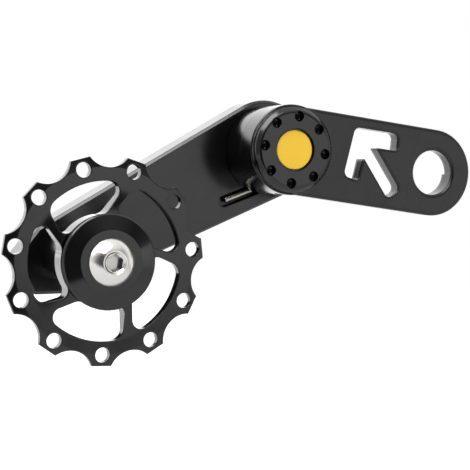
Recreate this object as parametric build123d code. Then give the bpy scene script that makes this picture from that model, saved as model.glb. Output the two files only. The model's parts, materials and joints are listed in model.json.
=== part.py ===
from build123d import *
import math
import os

# Spring-loaded chain tensioner with one toothed pulley, millimetres.
# The origin is the middle of the hanger hole in the hanger plate's front plane.
# X runs along the hanger plate, Z is up, and front faces look along -Y.

# Overall layout
PIVOT_OFFSET = 36.53
ARM_LENGTH = 51.9
ARM_ANGLE = 213.5
WEB_FRONT = -11.2
ARM_FRONT = 13.6

# Hanger plate
PLATE_T = 3.2
PLATE_END_R = 9.85
PLATE_STEP = 0.25
PLATE_EDGE = 0.3
HANGER_HOLE_R = 5.1
HANGER_HOLE_EDGE = 0.4
LUG_T = 1.0
LUG_FROM = -96.0
LUG_TO = 3.0
BOSS_BACK = 5.7
SPIGOT_L = 1.5

# Arrow-shaped opening in the hanger plate
ARROW_TIP = (-21.6, 7.3)
ARROW_TURN = -48.4
ARROW_HALF_ANGLE = 49.0
ARROW_BAR_L = 11.3
ARROW_BAR_W = 3.9
ARROW_SHAFT_W = 4.0
ARROW_L = 18.2
ARROW_ROUND = 1.45
ARROW_BAR_ROUND = 0.5
ARROW_NOTCH_ROUND = 0.2

# Arm pivot, from the axle outward
AXLE_R = 3.0
BUSH_WALL = 0.95
BUSH_FLANGE_W = 0.25
BUSH_FLANGE_T = 0.6
NOSE_WALL = 2.1
COIL_PLAY = 0.55
HOUSING_WALL = 1.3
ARM_OVERLAP = 1.4
THRUST_T = 0.45
THRUST_W = 1.55
AXLE_PLAY = 0.2
AXLE_HEAD_R = 5.5
AXLE_HEAD_T = 2.0
AXLE_HEAD_PROUD = 0.3
AXLE_HEX = 4.0
AXLE_HEX_DEPTH = 2.2
AXLE_HOLE_DEPTH = 7.0

# Screw and washer at the axle's front end
AXLE_SCREW_R = 1.5
AXLE_SCREW_L = 6.4
AXLE_SCREW_HEAD_R = 3.2
AXLE_SCREW_HEAD_H = 1.4
AXLE_SCREW_HEX = 2.5
WASHER_R = 3.9
WASHER_T = 0.6

# Preload cap, its plug and its set screw
CAP_STEP = 0.6
CAP_T = 1.6
CAP_EDGE = 0.7
CAP_SINK = 1.1
CAP_SINK_INSET = 0.55
CAP_HOLE_COUNT = 8
CAP_HOLE_R = 1.15
CAP_HOLE_INSET = 1.95
CAP_HOLE_DEPTH = 1.8
CAP_HOLE_POINT = 118.0
CAP_HOLE_TURN = 90.6
CAP_SHOULDER = 0.5
CAP_WELL_BACK = 3.2
CAP_NOSE_BACK = 9.4
PLUG_T = 1.05
PLUG_SUNK = 0.38
PLUG_RELIEF = 0.38
PLUG_EDGE = 0.12
SET_SCREW_R = 1.5
SET_SCREW_L = 2.8
SET_SCREW_HEX = 1.5
SET_SCREW_HEX_DEPTH = 1.4

# Arm plate
ARM_T = 7.5
ARM_PULLEY_R = 8.1
ARM_EDGE = 0.6
ARM_NOSE = 10.5
ARM_NOSE_START = 3.3
ARM_NOSE_SLOPE = 25.5
ARM_NOSE_ROUND = 1.2

# Arm stop: a lug on the arm's boss in an arc slot of the cap's nose
SWING = 90.0
STOP_AT = 110.0
STOP_WIDTH = 24.0
STOP_WALL = 0.65
STOP_L = 1.1
STOP_PLAY = 1.0

# Torsion spring
WIRE_R = 0.7
COIL_HALF_TURNS = 7
COIL_LAST_TURN = 90.0
COIL_PITCH = 1.62
LEG_TURN = 207.6
LEG_L = 12.9
END_BEND_R = 1.3
END_L = 1.2
GROOVE_PAST = 0.5
GROOVE_W = 2.7
GROOVE_DEPTH = 1.9

# Pulley
CHAIN_PITCH = 12.7
ROLLER_R = 3.88
TEETH = 11
TOOTH_TURN = 112.0
TOOTH_H = 2.25
TOOTH_VALLEY_R = 5.0
TOOTH_HOLE_R = 1.52
TOOTH_BEVEL = 0.49
RIM_T = 1.9
RIM_W = 2.7
RIM_FLAT_W = 3.5
SPOKES = 5
SPOKE_TURN = 83.7
SPOKE_SWEEP = 24.5
SPOKE_W = 1.7
SPOKE_FLARE = 0.12
WINDOW_HUB_ROUND_AFTER = 2.2
WINDOW_RIM_ROUND_AFTER = 1.9
WINDOW_RIM_ROUND_BEFORE = 2.5
WINDOW_HUB_ROUND_BEFORE = 1.6
HUB_WALL = 2.85
HUB_LIP = 0.8
HUB_STEP = 0.75
HUB_PROUD = 1.15
HUB_BEHIND = 4.0

# Pulley bearing
BEARING_R = 6.5
BEARING_W = 4.0
OUTER_RING_WALL = 1.05
RING_SPACE = 1.7
BALL_COUNT = 7
BALL_R = 1.0
BALL_TURN = 20.0
CAGE_T = 0.7
CAGE_RING_W = 0.35
CAGE_PRONG_L = 1.8
SHIELD_T = 0.25
SHIELD_SUNK = 0.12

# Pulley bolt, covers and spacer
BOLT_R = 2.48
BOLT_HEAD_R = 4.72
BOLT_HEAD_H = 2.1
BOLT_HEAD_BAND = 0.2
BOLT_TOP_R = 2.5
BOLT_DOME = 0.2
BOLT_MOUTH_R = 2.25
BOLT_MOUTH_DEPTH = 0.4
BOLT_HEX = 3.2
BOLT_HEX_DEPTH = 1.9
BOLT_SHORT = 0.5
COVER_PROUD = 0.23
REAR_COVER_INSET = 0.75
COVER_FLAT_R = 6.4
COVER_RIM = 1.0
COVER_CONE = 1.1
COVER_BOSS_W = 1.0
SPACER_R = 6.0

# Clearances, and the depth by which a cut runs past a face
SEAT_GAP = 0.02
RUN_GAP = 0.05
BORE_GAP = 0.12
FREE_GAP = 0.3
SMALL_EDGE = 0.25
PAST = 1.0

# Radii about the pivot that follow from the sizes above
BUSH_R = AXLE_R + RUN_GAP + BUSH_WALL
BUSH_FLANGE_R = BUSH_R + BUSH_FLANGE_W
WELL_R = BUSH_FLANGE_R + RUN_GAP + SEAT_GAP
PLUG_R = WELL_R - SEAT_GAP
CAP_NOSE_R = BUSH_R + NOSE_WALL
CAP_SKIRT_R = CAP_NOSE_R + CAP_SHOULDER
COIL_R = CAP_NOSE_R + COIL_PLAY + WIRE_R
HOUSING_IN_R = COIL_R + WIRE_R + COIL_PLAY
BOSS_R = HOUSING_IN_R + HOUSING_WALL
PLATE_PIVOT_R = BOSS_R - PLATE_STEP
CAP_R = BOSS_R - CAP_STEP
CAP_SINK_R = CAP_R - CAP_SINK_INSET
ARM_PIVOT_R = BOSS_R + ARM_OVERLAP
ARM_BOSS_R = CAP_NOSE_R - COIL_PLAY
STOP_IN_R = ARM_BOSS_R - STOP_WALL

# Radii about the pulley's axis that follow from the sizes above
TOOTH_ROOT_R = CHAIN_PITCH / (2 * math.sin(math.pi / TEETH)) - ROLLER_R
TOOTH_TIP_R = TOOTH_ROOT_R + TOOTH_H
WINDOW_OUT_R = TOOTH_ROOT_R - RIM_W
HUB_R = BEARING_R + HUB_WALL
SPOKE_MID_R = (HUB_R + WINDOW_OUT_R) / 2
OUTER_RING_IN_R = BEARING_R - OUTER_RING_WALL
INNER_RING_R = OUTER_RING_IN_R - RING_SPACE
BALL_CIRCLE_R = (INNER_RING_R + OUTER_RING_IN_R) / 2
COVER_R = HUB_R + COVER_PROUD
REAR_COVER_R = HUB_R - REAR_COVER_INSET
BOLT_CLEAR_R = BOLT_R + BORE_GAP

# Places that follow from the sizes above
PIVOT = (-PIVOT_OFFSET, 0.0)
ARM_DIR = math.radians(ARM_ANGLE)
PULLEY = (PIVOT[0] + ARM_LENGTH * math.cos(ARM_DIR), PIVOT[1] + ARM_LENGTH * math.sin(ARM_DIR))
ARM_BACK = ARM_FRONT + ARM_T
HOUSING_BACK = ARM_FRONT - FREE_GAP
AXLE_FRONT = CAP_WELL_BACK - BUSH_FLANGE_T - AXLE_PLAY
ARM_BOSS_FRONT = CAP_NOSE_BACK + THRUST_T + RUN_GAP
SPRING_REST = ARM_FRONT + GROOVE_DEPTH - FREE_GAP - WIRE_R
SPRING_TOP = SPRING_REST - (COIL_HALF_TURNS + 1) * COIL_PITCH / 2
LEG_START = LEG_TURN + 90.0
COIL_END = LEG_START + COIL_HALF_TURNS * 180.0 + COIL_LAST_TURN
HUB_FRONT = WEB_FRONT - HUB_PROUD
HUB_BACK = WEB_FRONT + HUB_BEHIND
BEARING_MID = (HUB_FRONT + HUB_BACK) / 2
BEARING_FRONT = BEARING_MID - BEARING_W / 2
BEARING_BACK = BEARING_MID + BEARING_W / 2
COVER_FLAT = HUB_FRONT - FREE_GAP - COVER_RIM - COVER_CONE
SPACER_FRONT = 2 * BEARING_MID - COVER_FLAT


def slab(sketch, front, back):
    """Solid of a sketch drawn in X and Z, from the depth front to the depth back along Y."""
    return extrude(Plane.XZ.offset(-back) * sketch, amount=back - front)


def disc(at, radius, front, back):
    """Round plate about a point of X and Z."""
    return slab(Pos(at[0], at[1]) * Circle(radius), front, back)


def tube(at, radius, bore, front, back):
    """Round plate with a round hole."""
    return slab(Pos(at[0], at[1]) * (Circle(radius) - Circle(bore)), front, back)


def turned(at, points):
    """Turned piece: a closed outline of radius and depth, spun about an axis along Y."""
    return Pos(at[0], 0, at[1]) * revolve(make_face(Polyline(*points, close=True)), axis=Axis.Y)


def hexagon(at, flats, turn=0.0):
    """Hexagon sketch of a given width across its flats, corners at turn + 30 degrees."""
    return Pos(*at) * Rot(0, 0, turn + 30) * RegularPolygon(flats / 2, 6, major_radius=False)


def polar(at, radius, degrees):
    """Point at a radius and an angle about a point of X and Z."""
    a = math.radians(degrees)
    return (at[0] + radius * math.cos(a), at[1] + radius * math.sin(a))


def sector(at, inner, outer, start, end):
    """Sketch of a ring's sector between two angles."""
    steps = max(2, math.ceil((end - start) / 30))
    angles = [start + (end - start) * i / steps for i in range(steps + 1)]
    far = (outer + PAST) / math.cos(math.radians((end - start) / steps / 2))
    wedge = make_face(Polyline(at, *[polar(at, far, a) for a in angles], close=True))
    return wedge & (Pos(at[0], at[1]) * (Circle(outer) - Circle(inner)))


def tapered_bar(a, ra, b, rb):
    """Sketch of two discs joined by their outer tangent lines."""
    dx, dz = b[0] - a[0], b[1] - a[1]
    span = math.hypot(dx, dz)
    along = math.degrees(math.atan2(dz, dx))
    lean = math.degrees(math.acos((ra - rb) / span))
    corners = [
        polar(a, ra, along + lean),
        polar(a, ra, along - lean),
        polar(b, rb, along - lean),
        polar(b, rb, along + lean),
    ]
    return Pos(*a) * Circle(ra) + Pos(*b) * Circle(rb) + make_face(Polyline(*corners, close=True))


def rim_edges(solid, depth):
    """Edges of the outer outline of the flat face at a depth along Y."""
    faces = [f for f in solid.faces() if abs(f.center().Y - depth) < 0.01 and abs(f.normal_at().Y) > 0.99]
    return max(faces, key=lambda f: f.area).outer_wire().edges()


def rounded_corner(sketch, corner, radius):
    """Sketch with the corner at one point rounded."""
    nearest = min(sketch.vertices(), key=lambda v: math.dist((v.X, v.Y), corner))
    return fillet(nearest, radius)


def arrow_sketch():
    """Arrow outline: two bars at the tip and a shaft, with rounded corners."""
    a = math.radians(ARROW_HALF_ANGLE)
    bar = (math.cos(a), math.sin(a))
    across = (math.sin(a), -math.cos(a))
    reach = (ARROW_SHAFT_W / 2 + ARROW_BAR_W * math.cos(a)) / math.sin(a)
    side = [
        (ARROW_BAR_L * bar[0], ARROW_BAR_L * bar[1]),
        (ARROW_BAR_L * bar[0] + ARROW_BAR_W * across[0], ARROW_BAR_L * bar[1] + ARROW_BAR_W * across[1]),
        (ARROW_BAR_W * across[0] + reach * bar[0], ARROW_SHAFT_W / 2),
        (ARROW_L, ARROW_SHAFT_W / 2),
    ]
    mirrored = [(u, -v) for u, v in reversed(side)]
    face = make_face(Polyline((0, 0), *side, *mirrored, close=True))
    rounds = [ARROW_ROUND, ARROW_BAR_ROUND, ARROW_NOTCH_ROUND, ARROW_ROUND]
    corners = [(0, 0), *side, *mirrored]
    for corner, radius in zip(corners, [ARROW_ROUND, *rounds, *reversed(rounds)]):
        face = rounded_corner(face, corner, radius)
    return Pos(*ARROW_TIP) * Rot(0, 0, ARROW_TURN) * face


def make_hanger_plate():
    """Hanger plate with its boss and spigot, hanger hole, stop lug and arrow opening."""
    plate = slab(tapered_bar(PIVOT, PLATE_PIVOT_R, (0, 0), PLATE_END_R), 0, PLATE_T)
    plate = chamfer(rim_edges(plate, 0), PLATE_EDGE)
    plate += disc(PIVOT, BOSS_R, PLATE_EDGE, BOSS_BACK)
    plate += disc(PIVOT, HOUSING_IN_R - RUN_GAP, BOSS_BACK, BOSS_BACK + SPIGOT_L)
    lug = sector((0, 0), HANGER_HOLE_R, PLATE_END_R - PLATE_EDGE, LUG_FROM, LUG_TO)
    plate += slab(lug, PLATE_T, PLATE_T + LUG_T)
    plate -= disc(PIVOT, CAP_SINK_R + SEAT_GAP, -PAST, CAP_SINK + SEAT_GAP)
    plate -= disc(PIVOT, CAP_SKIRT_R + SEAT_GAP, -PAST, BOSS_BACK + SPIGOT_L + PAST)
    hole_back = PLATE_T + LUG_T + PAST
    hole = [
        (0, -PAST),
        (HANGER_HOLE_R + HANGER_HOLE_EDGE + PAST, -PAST),
        (HANGER_HOLE_R, HANGER_HOLE_EDGE),
        (HANGER_HOLE_R, hole_back),
        (0, hole_back),
    ]
    plate -= turned((0, 0), hole)
    plate -= slab(arrow_sketch(), -PAST, PLATE_T + PAST)
    drill = Cylinder(SET_SCREW_R + SEAT_GAP, BOSS_R + PAST, align=(Align.CENTER, Align.CENTER, Align.MAX))
    return plate - Pos(PIVOT[0], BOSS_BACK / 2, PIVOT[1]) * drill


def make_set_screw():
    """Headless screw that locks the preload cap, its end just at the cap's skirt."""
    tip = -(CAP_SKIRT_R + SEAT_GAP)
    screw = Cylinder(SET_SCREW_R, SET_SCREW_L, align=(Align.CENTER, Align.CENTER, Align.MAX))
    socket = Plane.XY.offset(-SET_SCREW_L) * hexagon((0, 0), SET_SCREW_HEX)
    screw -= extrude(socket, amount=SET_SCREW_HEX_DEPTH)
    return Pos(PIVOT[0], BOSS_BACK / 2, PIVOT[1] + tip) * screw


def make_preload_cap():
    """Preload cap: head with drilled spanner holes, plug well, skirt, and nose that takes the spring's end."""
    relief_back = -CAP_T + PLUG_SUNK + PLUG_RELIEF
    outline = [
        (PLUG_R + PLUG_RELIEF, -CAP_T),
        (CAP_R - CAP_EDGE, -CAP_T),
        (CAP_R, -CAP_T + CAP_EDGE),
        (CAP_R, 0),
        (CAP_SINK_R, 0),
        (CAP_SINK_R, CAP_SINK),
        (CAP_SKIRT_R, CAP_SINK),
        (CAP_SKIRT_R, BOSS_BACK),
        (CAP_NOSE_R, BOSS_BACK),
        (CAP_NOSE_R, CAP_NOSE_BACK),
        (BUSH_R + SEAT_GAP, CAP_NOSE_BACK),
        (BUSH_R + SEAT_GAP, CAP_WELL_BACK),
        (WELL_R, CAP_WELL_BACK),
        (WELL_R, relief_back),
        (PLUG_R + PLUG_RELIEF, relief_back),
    ]
    cap = turned(PIVOT, outline)
    hole_back = -CAP_T + CAP_HOLE_DEPTH
    drill_point = hole_back + CAP_HOLE_R / math.tan(math.radians(CAP_HOLE_POINT / 2))
    drill = [(0, -CAP_T - PAST), (CAP_HOLE_R, -CAP_T - PAST), (CAP_HOLE_R, hole_back), (0, drill_point)]
    for i in range(CAP_HOLE_COUNT):
        at = polar(PIVOT, CAP_R - CAP_HOLE_INSET, CAP_HOLE_TURN + i * 360 / CAP_HOLE_COUNT)
        cap -= turned(at, drill)
    slot_in = COIL_R - END_BEND_R - END_L - FREE_GAP
    slot = Rectangle(CAP_NOSE_R + PAST - slot_in, 2 * (WIRE_R + FREE_GAP), align=(Align.MIN, Align.CENTER))
    slot = Pos(*PIVOT) * Rot(0, 0, COIL_END) * Pos(slot_in, END_BEND_R) * slot
    cap -= slab(slot, SPRING_TOP - WIRE_R, CAP_NOSE_BACK + PAST)
    play = STOP_WIDTH / 2 + STOP_PLAY
    arc = sector(PIVOT, STOP_IN_R - FREE_GAP, CAP_NOSE_R + PAST, STOP_AT - SWING - play, STOP_AT + play)
    return cap - slab(arc, ARM_BOSS_FRONT - STOP_L - FREE_GAP, CAP_NOSE_BACK + PAST)


def make_arm_sketch():
    """Arm outline: round pivot end, straight tapering sides, and a nose with sloped flanks."""
    lean = math.asin((ARM_PIVOT_R - ARM_PULLEY_R) / ARM_LENGTH)
    start = (ARM_PIVOT_R * math.sin(lean), ARM_PIVOT_R * math.cos(lean))
    bend = ARM_LENGTH + ARM_NOSE_START
    bend_half = ARM_PIVOT_R / math.cos(lean) - bend * math.tan(lean)
    tip = ARM_LENGTH + ARM_NOSE
    tip_half = bend_half - (ARM_NOSE - ARM_NOSE_START) * math.tan(math.radians(ARM_NOSE_SLOPE))
    side = [start, (bend, bend_half), (tip, tip_half)]
    mirrored = [(u, -v) for u, v in reversed(side)]
    body = make_face(Polyline(*side, *mirrored, close=True))
    body = fillet(body.vertices().sort_by(Axis.X)[-2:], ARM_NOSE_ROUND)
    body += Circle(ARM_PIVOT_R)
    return Pos(*PIVOT) * Rot(0, 0, ARM_ANGLE) * body


def make_arm_plate():
    """Arm plate with its pivot boss and stop lug, spring pocket and groove, axle bore and bolt hole."""
    arm = slab(make_arm_sketch(), ARM_FRONT, ARM_BACK)
    arm = chamfer(rim_edges(arm, ARM_FRONT), ARM_EDGE)
    arm = chamfer(rim_edges(arm, ARM_BACK), ARM_EDGE)
    groove_back = ARM_FRONT + GROOVE_DEPTH
    room = WIRE_R + FREE_GAP
    arm -= tube(PIVOT, COIL_R + room, COIL_R - room, ARM_FRONT - PAST, groove_back)
    groove_l = LEG_L + GROOVE_PAST
    groove = Pos(groove_l / 2, 0) * Rectangle(groove_l, GROOVE_W) + Pos(groove_l, 0) * Circle(GROOVE_W / 2)
    groove = Pos(*polar(PIVOT, COIL_R, LEG_START)) * Rot(0, 0, LEG_TURN) * groove
    arm -= slab(groove, ARM_FRONT - PAST, groove_back)
    arm += disc(PIVOT, ARM_BOSS_R, ARM_BOSS_FRONT, ARM_FRONT)
    lug = sector(PIVOT, STOP_IN_R, ARM_BOSS_R, STOP_AT - STOP_WIDTH / 2, STOP_AT + STOP_WIDTH / 2)
    arm += slab(lug, ARM_BOSS_FRONT - STOP_L, ARM_BOSS_FRONT)
    arm -= disc(PIVOT, AXLE_R + SEAT_GAP, ARM_BOSS_FRONT - PAST, ARM_BACK + PAST)
    arm -= disc(PIVOT, AXLE_HEAD_R + RUN_GAP, ARM_BACK - AXLE_HEAD_T, ARM_BACK + PAST)
    return arm - disc(PULLEY, BOLT_R + SEAT_GAP, ARM_FRONT - PAST, ARM_BACK + PAST)


def make_spring():
    """Torsion spring of exact arcs: leg, tilted half turns, and an inward end in the cap's nose."""
    wire = Circle(WIRE_R)
    rise = COIL_PITCH / 4
    turn_r = math.hypot(COIL_R, rise)
    spring = extrude(Plane((COIL_R, 0, 0), z_dir=(0, -1, 0)) * wire, amount=LEG_L)
    for k in range(COIL_HALF_TURNS + 1):
        side = 1 if k % 2 == 0 else -1
        middle = (2 * k + 1) * rise
        section = Plane((side * COIL_R, 0, middle - rise), z_dir=(0, side, 0)) * wire
        sweep_angle = 180 if k < COIL_HALF_TURNS else COIL_LAST_TURN
        axis = Axis((0, 0, middle), (side * rise, 0, COIL_R))
        spring += revolve(section, axis=axis, revolution_arc=sweep_angle)
    end = Plane((0, 0, middle), x_dir=(0, side, 0), z_dir=(side * rise, 0, COIL_R))
    section = Plane((turn_r, 0, 0), z_dir=(0, 1, 0)) * wire
    bend = revolve(section, axis=Axis((turn_r - END_BEND_R, 0, 0), (0, 0, 1)), revolution_arc=90)
    stub_start = (turn_r - END_BEND_R, END_BEND_R, 0)
    stub = extrude(Plane(stub_start, z_dir=(-1, 0, 0)) * wire, amount=END_L)
    spring += end * (bend + stub)
    x, z = polar((0, 0), 1, LEG_START)
    return Plane((PIVOT[0], SPRING_REST, PIVOT[1]), x_dir=(x, 0, z), z_dir=(0, -1, 0)) * spring


def make_pivot_axle():
    """Pivot axle: low round head with a hex socket in the arm's back, and a shaft drilled for its screw."""
    head_front = ARM_BACK - AXLE_HEAD_T
    head_back = ARM_BACK + AXLE_HEAD_PROUD
    outline = [
        (0, AXLE_FRONT),
        (AXLE_R - SMALL_EDGE, AXLE_FRONT),
        (AXLE_R, AXLE_FRONT + SMALL_EDGE),
        (AXLE_R, head_front),
        (AXLE_HEAD_R, head_front),
        (AXLE_HEAD_R, head_back - SMALL_EDGE),
        (AXLE_HEAD_R - SMALL_EDGE, head_back),
        (0, head_back),
    ]
    axle = turned(PIVOT, outline)
    axle -= disc(PIVOT, AXLE_SCREW_R + SEAT_GAP, AXLE_FRONT - PAST, AXLE_FRONT + AXLE_HOLE_DEPTH)
    return axle - slab(hexagon(PIVOT, AXLE_HEX), head_back - AXLE_HEX_DEPTH, head_back + PAST)


def make_axle_screw():
    """Screw that holds the axle's washer, under the cap plug."""
    seat = AXLE_FRONT - WASHER_T
    top = seat - AXLE_SCREW_HEAD_H
    outline = [
        (0, top),
        (AXLE_SCREW_HEAD_R - SMALL_EDGE, top),
        (AXLE_SCREW_HEAD_R, top + SMALL_EDGE),
        (AXLE_SCREW_HEAD_R, seat),
        (AXLE_SCREW_R, seat),
        (AXLE_SCREW_R, seat + AXLE_SCREW_L),
        (0, seat + AXLE_SCREW_L),
    ]
    return turned(PIVOT, outline) - slab(hexagon(PIVOT, AXLE_SCREW_HEX), top - PAST, seat - WASHER_T / 2)


def spoke_side(turn, side):
    """Inner and outer end of one side of a swept spoke that widens outward: side is 1 after it and -1 before it."""
    middle = polar((0, 0), SPOKE_MID_R, turn)
    along = turn - SPOKE_SWEEP
    reach = 0.75 * (WINDOW_OUT_R - HUB_R)
    ends = []
    for s in (-reach, reach):
        half = (SPOKE_W + SPOKE_FLARE * s) / 2
        ends.append(polar(polar(middle, s, along), half, along + 90 * side))
    return ends


def window_sketch():
    """Window between a spoke at angle zero and the next one, each corner with its own rounding."""
    step = 360 / SPOKES
    after = spoke_side(0, 1)
    before = spoke_side(step, -1)
    far = polar((0, 0), 2 * WINDOW_OUT_R, step / 2)
    wedge = make_face(Polyline(*after, far, before[1], before[0], close=True))
    window = wedge & (Circle(WINDOW_OUT_R) - Circle(HUB_R))
    for corner in [(v.X, v.Y) for v in window.vertices()]:
        at_hub = math.hypot(*corner) < SPOKE_MID_R
        if math.degrees(math.atan2(corner[1], corner[0])) < step / 2:
            radius = WINDOW_HUB_ROUND_AFTER if at_hub else WINDOW_RIM_ROUND_AFTER
        else:
            radius = WINDOW_HUB_ROUND_BEFORE if at_hub else WINDOW_RIM_ROUND_BEFORE
        window = rounded_corner(window, corner, radius)
    return window


def make_pulley():
    """Pulley: toothed rim with a hole in each tooth, web that thickens toward the hub, and a bearing seat."""
    apothem = RegularPolygon(TOOTH_TIP_R, TEETH, major_radius=False)
    profile = Rot(0, 0, TOOTH_TURN + 180 / TEETH) * apothem
    for i in range(TEETH):
        turn = TOOTH_TURN + 360 / TEETH * i
        valley = polar((0, 0), TOOTH_ROOT_R + TOOTH_VALLEY_R, turn + 180 / TEETH)
        profile -= Pos(*valley) * Circle(TOOTH_VALLEY_R)
        profile -= Pos(*polar((0, 0), TOOTH_ROOT_R, turn)) * Circle(TOOTH_HOLE_R)
    window = window_sketch()
    for i in range(SPOKES):
        profile -= Rot(0, 0, SPOKE_TURN + i * 360 / SPOKES) * window
    rim_back = WEB_FRONT + RIM_T
    outline = [
        (0, WEB_FRONT),
        (TOOTH_ROOT_R, WEB_FRONT),
        (TOOTH_TIP_R + PAST, WEB_FRONT + TOOTH_BEVEL),
        (TOOTH_TIP_R + PAST, rim_back - TOOTH_BEVEL),
        (TOOTH_ROOT_R, rim_back),
        (TOOTH_ROOT_R - RIM_FLAT_W, rim_back),
        (HUB_R, HUB_BACK),
        (0, HUB_BACK),
    ]
    wheel = slab(Pos(*PULLEY) * profile, WEB_FRONT, HUB_BACK) & turned(PULLEY, outline)
    wheel += disc(PULLEY, HUB_R - HUB_STEP, HUB_FRONT, WEB_FRONT)
    wheel -= disc(PULLEY, BEARING_R - HUB_LIP, HUB_FRONT - PAST, HUB_BACK + PAST)
    return wheel - disc(PULLEY, BEARING_R + SEAT_GAP, BEARING_FRONT - SEAT_GAP, HUB_BACK + PAST)


def raceway():
    """Ring-shaped room that the balls run in."""
    section = Pos(BALL_CIRCLE_R, BEARING_MID) * Circle(BALL_R + RUN_GAP)
    return Pos(PULLEY[0], 0, PULLEY[1]) * revolve(section, axis=Axis.Y)


def make_balls():
    """The bearing's balls."""
    balls = []
    for i in range(BALL_COUNT):
        x, z = polar(PULLEY, BALL_CIRCLE_R, BALL_TURN + i * 360 / BALL_COUNT)
        balls.append(Pos(x, BEARING_MID, z) * Sphere(BALL_R))
    return Compound(children=balls)


def make_cage():
    """Crown cage: a ring behind the balls with a prong between each two of them."""
    inner = BALL_CIRCLE_R - CAGE_T / 2
    outer = inner + CAGE_T
    ring_front = BEARING_MID + BALL_R + RUN_GAP
    cage = tube(PULLEY, outer, inner, ring_front, ring_front + CAGE_RING_W)
    half_pocket = math.degrees(math.atan((BALL_R + RUN_GAP) / inner))
    step = 360 / BALL_COUNT
    for i in range(BALL_COUNT):
        start = BALL_TURN + i * step + half_pocket
        prong = sector(PULLEY, inner, outer, start, start + step - 2 * half_pocket)
        cage += slab(prong, ring_front - CAGE_PRONG_L, ring_front)
    return cage


def make_shield(front):
    """Thin ring that closes the bearing between its two rings."""
    return tube(PULLEY, OUTER_RING_IN_R - SEAT_GAP, INNER_RING_R + FREE_GAP, front, front + SHIELD_T)


def make_cover(outward, radius):
    """Cone-shaped dust cover on one side of the pulley: outward is -1 in front and 1 behind."""
    face = (HUB_BACK - HUB_FRONT) / 2 + FREE_GAP
    flat = face + COVER_RIM + COVER_CONE
    boss_r = BOLT_CLEAR_R + COVER_BOSS_W
    outline = [
        (BOLT_CLEAR_R, BEARING_W / 2),
        (boss_r, BEARING_W / 2),
        (boss_r, face),
        (radius, face),
        (radius, face + COVER_RIM - SMALL_EDGE),
        (radius - SMALL_EDGE, face + COVER_RIM),
        (COVER_FLAT_R, flat),
        (BOLT_CLEAR_R, flat),
    ]
    return turned(PULLEY, [(r, BEARING_MID + outward * y) for r, y in outline])


def make_pulley_bolt():
    """Button-head bolt with a hex socket, from the front cover into the arm."""
    top = COVER_FLAT - BOLT_HEAD_H
    band = COVER_FLAT - BOLT_HEAD_BAND
    tip = ARM_BACK - BOLT_SHORT
    chord = math.hypot(BOLT_HEAD_R - BOLT_TOP_R, band - top)
    middle_r = (BOLT_TOP_R + BOLT_HEAD_R) / 2 + BOLT_DOME * (band - top) / chord
    middle_y = (top + band) / 2 - BOLT_DOME * (BOLT_HEAD_R - BOLT_TOP_R) / chord
    profile = [
        ThreePointArc((BOLT_TOP_R, top), (middle_r, middle_y), (BOLT_HEAD_R, band)),
        Polyline(
            (BOLT_HEAD_R, band),
            (BOLT_HEAD_R, COVER_FLAT),
            (BOLT_R, COVER_FLAT),
            (BOLT_R, tip - SMALL_EDGE),
            (BOLT_R - SMALL_EDGE, tip),
            (0, tip),
            (0, top),
            (BOLT_TOP_R, top),
        ),
    ]
    bolt = Pos(PULLEY[0], 0, PULLEY[1]) * revolve(make_face(profile), axis=Axis.Y)
    corner_r = BOLT_HEX / 2 / math.cos(math.radians(30))
    mouth = [
        (0, top - PAST),
        (BOLT_MOUTH_R, top - PAST),
        (BOLT_MOUTH_R, top),
        (corner_r, top + BOLT_MOUTH_DEPTH),
        (0, top + BOLT_MOUTH_DEPTH),
    ]
    bolt -= turned(PULLEY, mouth)
    return bolt - slab(hexagon(PULLEY, BOLT_HEX), top - PAST, top + BOLT_HEX_DEPTH)


plug_front = -CAP_T + PLUG_SUNK
plug_outline = [
    (0, plug_front),
    (PLUG_R - PLUG_EDGE, plug_front),
    (PLUG_R, plug_front + PLUG_EDGE),
    (PLUG_R, plug_front + PLUG_T),
    (0, plug_front + PLUG_T),
]
bush_outline = [
    (AXLE_R + RUN_GAP, CAP_WELL_BACK - BUSH_FLANGE_T),
    (BUSH_FLANGE_R, CAP_WELL_BACK - BUSH_FLANGE_T),
    (BUSH_FLANGE_R, CAP_WELL_BACK),
    (BUSH_R, CAP_WELL_BACK),
    (BUSH_R, CAP_NOSE_BACK),
    (AXLE_R + RUN_GAP, CAP_NOSE_BACK),
]
thrust_bore = AXLE_R + BORE_GAP
thrust_back = CAP_NOSE_BACK + THRUST_T
inner_ring = tube(PULLEY, INNER_RING_R, BOLT_R + RUN_GAP, BEARING_FRONT, BEARING_BACK)
outer_ring = tube(PULLEY, BEARING_R, OUTER_RING_IN_R, BEARING_FRONT, BEARING_BACK)

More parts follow.
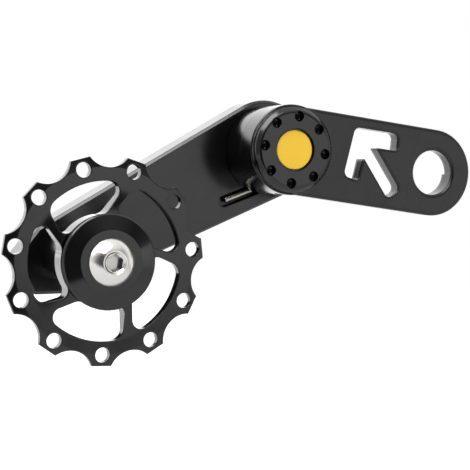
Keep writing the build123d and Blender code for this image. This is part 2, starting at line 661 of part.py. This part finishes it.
nodes = {
    "hanger_plate": make_hanger_plate(),
    "spring_housing": tube(PIVOT, BOSS_R, HOUSING_IN_R, BOSS_BACK, HOUSING_BACK),
    "preload_cap": make_preload_cap(),
    "cap_plug": turned(PIVOT, plug_outline),
    "cap_set_screw": make_set_screw(),
    "pivot_bush": turned(PIVOT, bush_outline),
    "thrust_washer": tube(PIVOT, thrust_bore + THRUST_W, thrust_bore, CAP_NOSE_BACK, thrust_back),
    "arm_plate": make_arm_plate(),
    "torsion_spring": make_spring(),
    "pivot_axle": make_pivot_axle(),
    "axle_washer": tube(PIVOT, WASHER_R, AXLE_SCREW_R + BORE_GAP, AXLE_FRONT - WASHER_T, AXLE_FRONT),
    "axle_screw": make_axle_screw(),
    "pulley_bolt": make_pulley_bolt(),
    "pulley_spacer": tube(PULLEY, SPACER_R, BOLT_CLEAR_R, SPACER_FRONT, ARM_FRONT),
    "cover_front": make_cover(-1, COVER_R),
    "cover_rear": make_cover(1, REAR_COVER_R),
    "bearing_inner_ring": inner_ring - raceway(),
    "pulley_wheel": make_pulley(),
    "bearing_outer_ring": outer_ring - raceway(),
    "bearing_shield_front": make_shield(BEARING_FRONT + SHIELD_SUNK),
    "bearing_shield_rear": make_shield(BEARING_BACK - SHIELD_SUNK - SHIELD_T),
    "bearing_balls": make_balls(),
    "bearing_cage": make_cage(),
}

os.makedirs("parts", exist_ok=True)
for name, shape in nodes.items():
    export_step(shape, f"parts/{name}.step")
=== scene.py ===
import json
import math

import bpy
from mathutils import Matrix, Vector


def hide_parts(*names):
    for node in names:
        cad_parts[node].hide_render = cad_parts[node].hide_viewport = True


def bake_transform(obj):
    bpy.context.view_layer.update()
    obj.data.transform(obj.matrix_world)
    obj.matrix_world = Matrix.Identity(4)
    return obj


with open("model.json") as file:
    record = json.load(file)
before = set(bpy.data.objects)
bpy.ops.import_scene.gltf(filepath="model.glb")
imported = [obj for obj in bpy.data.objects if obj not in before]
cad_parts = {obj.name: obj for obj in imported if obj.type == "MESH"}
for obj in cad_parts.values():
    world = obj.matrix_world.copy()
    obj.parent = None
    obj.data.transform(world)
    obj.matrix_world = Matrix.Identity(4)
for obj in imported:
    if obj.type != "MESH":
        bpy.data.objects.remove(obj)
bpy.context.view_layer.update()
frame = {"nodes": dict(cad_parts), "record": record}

nodes = frame["nodes"]

# Camera: place and clipping in metres, turn, tilt and roll in degrees, lens and sensor in millimetres
CAMERA_AT = (-0.172284, -0.272354, -0.021646)
CAMERA_CLIP = (0.01, 50.0)
CAMERA_TURN = 24.61
CAMERA_TILT = 0.3
CAMERA_ROLL = 7.34
CAMERA_LENS = 106.7
CAMERA_SENSOR = 36.0

# World: its strength to the camera, as light, and in mirrors at the front, the back and the top.
# The last two are the spans of a direction's Y and Z over which the front fades to the back and the top.
WORLD_SEEN = 1.0
WORLD_LIGHT = 0.62
WORLD_FRONT = 0.05
WORLD_BACK = 1.0
WORLD_TOP = 0.95
WORLD_BACK_SPAN = (-0.70, 0.10)
WORLD_TOP_SPAN = (0.42, 0.95)

# Floor: its outline in metres, which ends nearer to the part on the left, with a slanted edge over FLOOR_SLANT in X
FLOOR_Z = -0.10
FLOOR_REACH = 6.0
FLOOR_FRONT = -0.55
FLOOR_LEFT_FRONT = -0.15
FLOOR_SLANT = (-0.10, 0.04)

# Floor: its finish, its glow to the camera, and its glow in mirrors, which grows over FLOOR_FADE in Y
FLOOR_SHADES = (0.54, 0.54, 0.54), (0.56, 0.56, 0.56)
FLOOR_ROUGH = 0.9
FLOOR_SEEN = 0.65
FLOOR_GLOW = (0.05, 1.1)
FLOOR_FADE = (0.05, 0.25)

# Lamps: the point that they face, and the direction from it, distance, width and height in metres and radiance of each
MIDDLE = (-0.045, 0.0, -0.015)
LAMPS = {
    "front_right_panel": ((0.55, -0.83, 0.10), 1.1, 1.2, 0.42, 1.02),
    "top_left_soft": ((-0.46, -0.37, 0.80), 0.9, 0.62, 0.66, 5.5),
    "left_panel": ((-0.86, 0.05, 0.50), 1.1, 0.7, 0.5, 1.8),
    "back_panel": ((-0.15, 0.95, 0.30), 1.2, 1.8, 1.2, 1.1),
}

# Base colours in linear light: the darkest and lightest shade of each finish
WHITE = (1.0, 1.0, 1.0, 1.0)
BLACK = (0.0022, 0.0022, 0.0025), (0.0036, 0.0036, 0.0040)
GLOSS = (0.0018, 0.0018, 0.0020), (0.0028, 0.0028, 0.0030)
YELLOW = (0.84, 0.52, 0.020), (0.90, 0.57, 0.028)
POLYMER = (0.70, 0.69, 0.65), (0.78, 0.77, 0.73)
RUBBER = (0.018, 0.018, 0.018), (0.026, 0.026, 0.026)
BOLT = (0.80, 0.785, 0.75), (0.88, 0.865, 0.83)
WIRE = (0.48, 0.46, 0.41), (0.60, 0.575, 0.52)
AXLE = (0.33, 0.33, 0.34), (0.41, 0.41, 0.42)
BEARING = (0.52, 0.52, 0.53), (0.60, 0.60, 0.61)
DARK_STEEL = (0.05, 0.05, 0.052), (0.08, 0.08, 0.083)
BRONZE = (0.42, 0.25, 0.10), (0.55, 0.34, 0.15)

# Noise patterns: scale, detail and roughness, and the spans of their values that are used
CLOUDS = (90.0, 4.0, 0.55)
SMUDGES = (160.0, 5.0, 0.65)
SKIN_GRAIN = (6500.0, 2.0, 0.55)
METAL_SHADES = (420.0, 5.0, 0.55)
METAL_POLISH = (900.0, 5.0, 0.55)
METAL_GRAIN = (3000.0, 3.0, 0.55)
FLOOR_CLOUDS = (3.0, 2.0, 0.55)
NOISE_SPAN = (0.3, 0.7)
SMUDGE_SPAN = (0.35, 0.65)

# Grain heights, and turning rings: spacing and height in metres, noise detail and change of roughness
GRAIN = 0.0000015
POLYMER_GRAIN = 0.000003
RUBBER_GRAIN = 0.000006
RING_PITCH = 0.00022
RING_DEPTH = 0.0000004
RING_DETAIL = 2.0
RING_GLOSS = 0.02

# Edges and recesses: sizes in metres, rays per point, and the painted shade of a recess (base colour darkened by
# occlusion) over a span of occlusion
SHARP_EDGE = 0.00012
EDGE_BLEND = 0.0002
EDGE_SAMPLES = 8
RECESS = 0.0025
RECESS_SAMPLES = 8
PAINTED_RECESS_SHADE = 0.35
RECESS_SPAN = (0.15, 0.85)

# Walls along Y against faces across it, by how far the normal points along Y
WALL_SPAN = (0.2, 0.6)

# Turned places: radii in metres, the slope and rise that are shown in shading, and the extra gloss of a boss
BOSS_R = 0.0100
BOSS_RIM = (0.0088, 0.00985)
BOSS_GLOSS = 0.08
CAP_WALL = 0.0091
CAP_RIM = (0.0079, 0.0086)
RIM_SLOPE = 0.8
HUB_R = 0.0095
WEB = (0.0080, 0.0164)
WEB_RISE = 0.0010

# Pulley bolt: the depth in Y where its shank begins, in metres, and the shank's shade and extra roughness
SHANK_FROM = 0.0
SHANK_SHADE = 0.35
SHANK_ROUGH = 0.20


def make_camera():
    """Camera at the photograph's view."""
    turn, tilt, roll = (math.radians(a) for a in (CAMERA_TURN, CAMERA_TILT, CAMERA_ROLL))
    forward = Vector((math.sin(turn) * math.cos(tilt), math.cos(turn) * math.cos(tilt), math.sin(tilt)))
    level = Vector((math.cos(turn), -math.sin(turn), 0.0))
    upright = level.cross(forward)
    right = level * math.cos(roll) + upright * math.sin(roll)
    up = right.cross(forward)
    rotation = Matrix((right, up, -forward)).transposed().to_4x4()
    data = bpy.data.cameras.new("camera")
    data.lens = CAMERA_LENS
    data.sensor_width = CAMERA_SENSOR
    data.clip_start, data.clip_end = CAMERA_CLIP
    camera = bpy.data.objects.new("camera", data)
    bpy.context.scene.collection.objects.link(camera)
    camera.matrix_world = Matrix.Translation(CAMERA_AT) @ rotation
    bpy.context.scene.camera = camera


class Nodes:
    """Short way to add shader nodes to a material or world, and to join them to its main shader."""

    def __init__(self, owner, shader="Principled BSDF"):
        owner.use_nodes = True
        self.tree = owner.node_tree
        self.shader = self.tree.nodes[shader]

    def add(self, kind, inputs=None, **settings):
        node = self.tree.nodes.new("ShaderNode" + kind)
        for key, value in settings.items():
            setattr(node, key, value)
        for key, value in (inputs or {}).items():
            if hasattr(value, "links"):
                self.tree.links.new(value, node.inputs[key])
            else:
                node.inputs[key].default_value = value
        return node

    def join(self, socket, name):
        self.tree.links.new(socket, self.shader.inputs[name])

    def set(self, **values):
        for key, value in values.items():
            self.shader.inputs[key.replace("_", " ")].default_value = value

    def math(self, operation, *values):
        return self.add("Math", dict(enumerate(values)), operation=operation).outputs[0]

    def ramp(self, value, low, high, start, end, shape="LINEAR"):
        """Goes from low to high while a value goes from start to end."""
        inputs = {"Value": value, "From Min": start, "From Max": end, "To Min": low, "To Max": high}
        return self.add("MapRange", inputs, interpolation_type=shape).outputs["Result"]

    def tint(self, fac, shades):
        dark, light = shades
        node = self.add("MixRGB", {"Fac": fac, "Color1": (*dark, 1.0), "Color2": (*light, 1.0)})
        return node.outputs["Color"]

    def darken(self, colour, factor):
        inputs = {"Fac": 1.0, "Color1": colour, "Color2": factor}
        return self.add("MixRGB", inputs, blend_type="MULTIPLY").outputs["Color"]

    def coords(self):
        return self.add("TexCoord").outputs["Object"]

    def depth(self, coords):
        """Y of a place."""
        return self.add("SeparateXYZ", {0: coords}).outputs["Y"]

    def radius(self, coords, axis):
        """Distance from an axis that runs along Y."""
        apart = self.add("VectorMath", {0: coords, 1: (axis[0], 0.0, axis[1])}, operation="SUBTRACT")
        flat = self.add("VectorMath", {0: apart.outputs[0], 1: (1.0, 0.0, 1.0)}, operation="MULTIPLY")
        return self.add("VectorMath", {0: flat.outputs[0]}, operation="LENGTH").outputs["Value"]

    def mirrored(self, rays):
        """One where a surface mirrors this or shows it through itself, from a Light Path node's outputs."""
        return self.math("MAXIMUM", rays["Is Glossy Ray"], rays["Is Transmission Ray"])

    def noise(self, coords, pattern):
        scale, detail, roughness = pattern
        inputs = {"Vector": coords, "Scale": scale, "Detail": detail, "Roughness": roughness}
        return self.add("TexNoise", inputs).outputs["Fac"]

    def rings(self, coords, axis):
        """Turning marks: uneven fine rings around an axis, on faces and along the axis."""
        along = self.math("ADD", self.radius(coords, axis), self.depth(coords))
        inputs = {"W": along, "Scale": 1.0 / RING_PITCH, "Detail": RING_DETAIL}
        return self.add("TexNoise", inputs, noise_dimensions="1D").outputs["Fac"]

    def walls(self):
        """One on walls that run along Y, zero on faces across it."""
        across = self.depth(self.add("NewGeometry").outputs["True Normal"])
        return self.ramp(self.math("ABSOLUTE", across), 1.0, 0.0, *WALL_SPAN)

    def rounding(self, radius, rim):
        """Height that lets a flat face fall off between two radii, steeper toward the outer one."""
        inner, outer = rim
        fall = self.ramp(radius, 0.0, 1.0, inner, outer)
        return self.math("MULTIPLY", self.math("MULTIPLY", fall, fall), -RIM_SLOPE * (outer - inner) / 2)

    def dish(self, radius, web):
        """Height of a web that rises smoothly from its outer radius toward its hub, on faces across Y only."""
        rise = self.ramp(radius, WEB_RISE, 0.0, *web, shape="SMOOTHSTEP")
        return self.math("MULTIPLY", rise, self.math("SUBTRACT", 1.0, self.walls()))

    def soft_edges(self, radius):
        return self.add("Bevel", {"Radius": radius}, samples=EDGE_SAMPLES).outputs["Normal"]

    def bump(self, height, distance, normal):
        inputs = {"Height": height, "Distance": distance, "Strength": 1.0, "Normal": normal}
        return self.add("Bump", inputs).outputs["Normal"]


def make_coated(name, shades, rough, edge=SHARP_EDGE, grain=GRAIN, axis=None, boss=None, soft_from=None, rim=None,
                web=None, milled=0.0, ior=1.6):
    """Anodised, moulded or rubber skin: colour a little cloudy, gloss with faint handling marks, fine grain.

    A piece with an axis has fine turning rings around it, or with a boss it is smoother inside that radius instead.
    Edges are rounded by edge, and with soft_from those inside that radius stay sharp. A rim falls off between two
    radii and a web rises toward the inner one, both in shading only. Walls along Y are rougher than faces by milled."""
    material = bpy.data.materials.new(name)
    m = Nodes(material)
    at = m.coords()
    m.join(m.tint(m.ramp(m.noise(at, CLOUDS), 0.0, 1.0, *NOISE_SPAN), shades), "Base Color")
    roughness = m.ramp(m.noise(at, SMUDGES), *rough, *SMUDGE_SPAN)
    if boss:
        smoother = m.ramp(m.radius(at, axis), -BOSS_GLOSS, 0.0, boss, boss + EDGE_BLEND)
        roughness = m.math("ADD", roughness, smoother)
    if soft_from:
        edge = m.ramp(m.radius(at, axis), SHARP_EDGE, edge, soft_from, soft_from + EDGE_BLEND)
    normal = m.bump(m.noise(at, SKIN_GRAIN), grain, m.soft_edges(edge))
    if milled:
        roughness = m.math("ADD", roughness, m.math("MULTIPLY", m.walls(), milled))
    if axis and not boss:
        rings = m.rings(at, axis)
        roughness = m.math("ADD", roughness, m.ramp(rings, -RING_GLOSS, RING_GLOSS, *NOISE_SPAN))
        normal = m.bump(rings, RING_DEPTH, normal)
    if rim:
        normal = m.bump(m.rounding(m.radius(at, axis), rim), 1.0, normal)
    if web:
        normal = m.bump(m.dish(m.radius(at, axis), web), 1.0, normal)
    m.join(roughness, "Roughness")
    m.join(normal, "Normal")
    m.set(IOR=ior)
    return material


def make_metal(name, shades, rough, axis=None, dull_from=None):
    """Bare metal: slightly uneven polish, with painted shade darkening its recesses, with turning rings around an axis
    if it has one.

    A bolt whose head is polished has a darker and duller shank from a given depth on."""
    material = bpy.data.materials.new(name)
    m = Nodes(material)
    at = m.coords()
    # Painted shade: the base colour is darkened wherever ambient occlusion finds a recess
    openness = m.add("AmbientOcclusion", {"Distance": RECESS}, samples=RECESS_SAMPLES).outputs["AO"]
    colour = m.tint(m.noise(at, METAL_SHADES), shades)
    colour = m.darken(colour, m.ramp(openness, PAINTED_RECESS_SHADE, 1.0, *RECESS_SPAN))
    roughness = m.ramp(m.noise(at, METAL_POLISH), *rough, *NOISE_SPAN)
    if dull_from is not None:
        shank = (dull_from, dull_from + EDGE_BLEND)
        colour = m.darken(colour, m.ramp(m.depth(at), 1.0, SHANK_SHADE, *shank))
        roughness = m.math("ADD", roughness, m.ramp(m.depth(at), 0.0, SHANK_ROUGH, *shank))
    normal = m.bump(m.noise(at, METAL_GRAIN), GRAIN, m.soft_edges(SHARP_EDGE))
    if axis:
        rings = m.rings(at, axis)
        roughness = m.math("ADD", roughness, m.ramp(rings, -RING_GLOSS, RING_GLOSS, *NOISE_SPAN))
        normal = m.bump(rings, RING_DEPTH, normal)
    m.join(colour, "Base Color")
    m.join(roughness, "Roughness")
    m.join(normal, "Normal")
    m.set(Metallic=1.0)
    return material


def joint_axis(name):
    """X and Z of a joint's axis, which runs along Y."""
    joint = next(j for j in frame["record"]["behaviour"]["joints"] if j["name"] == name)
    return joint["pos_m"][0], joint["pos_m"][2]


PIVOT = joint_axis("arm_pivot")
PULLEY = joint_axis("pulley_spin")

plate_black = make_coated("plate_black", BLACK, rough=(0.24, 0.30), edge=0.0010, axis=PIVOT, boss=BOSS_R,
                          soft_from=BOSS_R, rim=BOSS_RIM, ior=1.56)
arm_black = make_coated("arm_black", BLACK, rough=(0.17, 0.23), edge=0.0003)
cap_black = make_coated("cap_black", BLACK, rough=(0.15, 0.20), edge=0.0008, axis=PIVOT, soft_from=CAP_WALL,
                        rim=CAP_RIM)
pulley_black = make_coated("pulley_black", BLACK, rough=(0.13, 0.18), edge=0.0004, axis=PULLEY, boss=HUB_R,
                           soft_from=HUB_R, web=WEB, milled=-0.03)
barrel_gloss = make_coated("barrel_gloss", GLOSS, rough=(0.12, 0.17), axis=PIVOT)
cover_gloss = make_coated("cover_gloss", GLOSS, rough=(0.12, 0.17), axis=PULLEY, milled=0.80)
spacer_gloss = make_coated("spacer_gloss", GLOSS, rough=(0.12, 0.17), axis=PULLEY, ior=1.3)
yellow = make_coated("plug_yellow", YELLOW, rough=(0.42, 0.52), edge=0.00025, axis=PIVOT, ior=1.5)
polymer = make_coated("white_polymer", POLYMER, rough=(0.42, 0.55), grain=POLYMER_GRAIN, ior=1.5)
rubber = make_coated("black_rubber", RUBBER, rough=(0.55, 0.72), grain=RUBBER_GRAIN, ior=1.5)
bolt_steel = make_metal("bolt_steel", BOLT, rough=(0.16, 0.24), axis=PULLEY, dull_from=SHANK_FROM)
wire_steel = make_metal("wire_steel", WIRE, rough=(0.22, 0.32))
axle_steel = make_metal("axle_steel", AXLE, rough=(0.26, 0.38), axis=PIVOT)
bearing_steel = make_metal("bearing_steel", BEARING, rough=(0.14, 0.24), axis=PULLEY)
dark_steel = make_metal("dark_steel", DARK_STEEL, rough=(0.30, 0.42))
bronze = make_metal("sintered_bronze", BRONZE, rough=(0.32, 0.46), axis=PIVOT)

finishes = {
    "hanger_plate": plate_black,
    "spring_housing": barrel_gloss,
    "preload_cap": cap_black,
    "cap_plug": yellow,
    "cap_set_screw": dark_steel,
    "pivot_bush": bronze,
    "thrust_washer": polymer,
    "arm_plate": arm_black,
    "torsion_spring": wire_steel,
    "pivot_axle": axle_steel,
    "axle_washer": axle_steel,
    "axle_screw": axle_steel,
    "pulley_bolt": bolt_steel,
    "pulley_spacer": spacer_gloss,
    "cover_front": cover_gloss,
    "cover_rear": spacer_gloss,
    "bearing_inner_ring": bearing_steel,
    "pulley_wheel": pulley_black,
    "bearing_outer_ring": bearing_steel,
    "bearing_shield_front": rubber,
    "bearing_shield_rear": rubber,
    "bearing_balls": bearing_steel,
    "bearing_cage": polymer,
}
for node, finish in finishes.items():
    mesh = nodes[node].data
    mesh.materials.clear()
    mesh.materials.append(finish)


def make_spring():
    """Copy of the torsion spring, shown instead of the part; the cap holds its inner end and the arm holds its leg."""
    spring = bpy.data.objects.new("torsion_spring_wire", nodes["torsion_spring"].data.copy())
    bpy.context.scene.collection.objects.link(spring)
    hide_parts("torsion_spring")
    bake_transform(spring)


def make_floor():
    """Pale floor below the part: white to the camera, and still darkened by the part's soft shadow."""
    mesh = bpy.data.meshes.new("floor")
    corners = [
        (-FLOOR_REACH, FLOOR_REACH),
        (-FLOOR_REACH, FLOOR_LEFT_FRONT),
        (FLOOR_SLANT[0], FLOOR_LEFT_FRONT),
        (FLOOR_SLANT[1], FLOOR_FRONT),
        (FLOOR_REACH, FLOOR_FRONT),
        (FLOOR_REACH, FLOOR_REACH),
    ]
    mesh.from_pydata([(x, y, FLOOR_Z) for x, y in corners], [], [tuple(range(len(corners)))])
    floor = bpy.data.objects.new("floor", mesh)
    bpy.context.scene.collection.objects.link(floor)
    material = bpy.data.materials.new("pale_floor")
    m = Nodes(material)
    at = m.coords()
    rays = m.add("LightPath").outputs
    seen = m.math("MULTIPLY", rays["Is Camera Ray"], FLOOR_SEEN)
    mirrored = m.math("MULTIPLY", m.mirrored(rays), m.ramp(m.depth(at), *FLOOR_GLOW, *FLOOR_FADE))
    m.join(m.tint(m.noise(at, FLOOR_CLOUDS), FLOOR_SHADES), "Base Color")
    m.join(m.math("ADD", seen, mirrored), "Emission Strength")
    m.set(Roughness=FLOOR_ROUGH, Emission_Color=WHITE)
    mesh.materials.append(material)


def make_world():
    """Pale studio: white wherever the camera looks, darker in mirrors on the side that the camera stands on."""
    world = bpy.data.worlds.new("studio")
    bpy.context.scene.world = world
    w = Nodes(world, "Background")
    toward = w.add("SeparateXYZ", {0: w.add("TexCoord").outputs["Generated"]}).outputs
    back = w.ramp(toward["Y"], WORLD_FRONT, WORLD_BACK, *WORLD_BACK_SPAN, shape="SMOOTHSTEP")
    top = w.ramp(toward["Z"], WORLD_FRONT, WORLD_TOP, *WORLD_TOP_SPAN, shape="SMOOTHSTEP")
    rays = w.add("LightPath").outputs
    unseen = w.ramp(w.mirrored(rays), WORLD_LIGHT, w.math("MAXIMUM", back, top), 0.0, 1.0)
    w.join(w.ramp(rays["Is Camera Ray"], unseen, WORLD_SEEN, 0.0, 1.0), "Strength")
    w.set(Color=WHITE)


def make_lamp(name, toward, distance, width, height, radiance):
    """Soft rectangular lamp in a direction from the part's middle, which it faces, of a given brightness."""
    data = bpy.data.lights.new(name, "AREA")
    data.shape = "RECTANGLE"
    data.size = width
    data.size_y = height
    data.energy = radiance * math.pi * width * height
    lamp = bpy.data.objects.new(name, data)
    bpy.context.scene.collection.objects.link(lamp)
    direction = Vector(toward).normalized()
    lamp.location = Vector(MIDDLE) + direction * distance
    lamp.rotation_euler = direction.to_track_quat("Z", "Y").to_euler()
    lamp.visible_camera = False


make_camera()
make_spring()
make_floor()
make_world()
for name, lamp in LAMPS.items():
    make_lamp(name, *lamp)

bpy.context.scene.view_settings.view_transform = "Standard"
